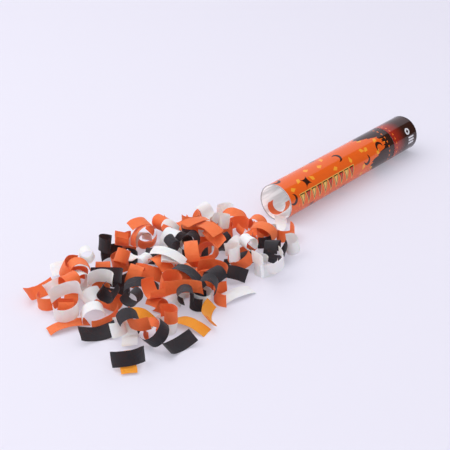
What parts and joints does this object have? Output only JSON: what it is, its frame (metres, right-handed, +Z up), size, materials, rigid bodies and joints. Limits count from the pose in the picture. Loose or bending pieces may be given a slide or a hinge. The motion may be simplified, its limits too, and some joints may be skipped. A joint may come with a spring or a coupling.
{
  "type": "confetti popper",
  "caption": "Twist-fired confetti popper lying on its side after firing: printed clear barrel, twist base, spring plunger, and curled tissue strips spilled from the mouth.",
  "frame": {"origin": "centre of the base's flat end face, on the barrel's axis", "axes": "+X along the barrel's axis and out of the base's end face, so the mouth faces -X; +Z up from the floor that the popper lies on; +Y to the left of someone looking along +X"},
  "size_m": [0.6714, 0.2347, 0.05],
  "materials": {
    "barrel_tube": "clear moulded plastic",
    "barrel_film": "glossy printed film",
    "spring_seat": "black moulded plastic",
    "snap_ring": "spring steel",
    "spring": "zinc-plated spring wire",
    "base_sleeve": "black moulded plastic",
    "base_film": "glossy printed film",
    "end_cap": "black moulded plastic",
    "lock_disc": "natural moulded plastic",
    "thrust_washer": "white nylon",
    "pull_rod": "natural moulded plastic",
    "pusher_plate": "natural moulded plastic",
    "rod_screw": "zinc-plated steel",
    "rod_washer": "zinc-plated steel",
    "felt_wad": "pressed felt",
    "card_disc": "grey board",
    "orange_confetti": "tissue paper",
    "white_confetti": "tissue paper",
    "black_confetti": "tissue paper",
    "amber_confetti": "tissue paper"
  },
  "bodies": {
    "barrel": {"barrel_tube": "barrel_tube", "barrel_film": "barrel_film", "spring_seat": "spring_seat", "snap_ring": "snap_ring", "spring": "spring"},
    "base": {"base_sleeve": "base_sleeve", "base_film": "base_film", "end_cap": "end_cap", "lock_disc": "lock_disc", "thrust_washer": "thrust_washer"},
    "plunger": {"pull_rod": "pull_rod", "pusher_plate": "pusher_plate", "rod_screw": "rod_screw", "rod_washer": "rod_washer", "felt_wad": "felt_wad", "card_disc": "card_disc"},
    "confetti": {"orange_confetti": "orange_confetti", "white_confetti": "white_confetti", "black_confetti": "black_confetti", "amber_confetti": "amber_confetti"}
  },
  "joints": [
    {"name": "base_twist", "type": "hinge", "parent": "barrel", "child": "base", "pos_m": [0, 0, 0], "axis": [1, 0, 0], "range_deg": [0, 90]},
    {"name": "plunger_slide", "type": "slide", "parent": "barrel", "child": "plunger", "axis": [1, 0, 0], "range_m": [0, 0.11], "stiffness_N_per_m": 400, "deforming": ["spring"]},
    {"name": "confetti_spill", "type": "slide", "parent": "barrel", "child": "confetti", "axis": [-1, 0, 0], "range_m": [0, 0.06]}
  ]
}
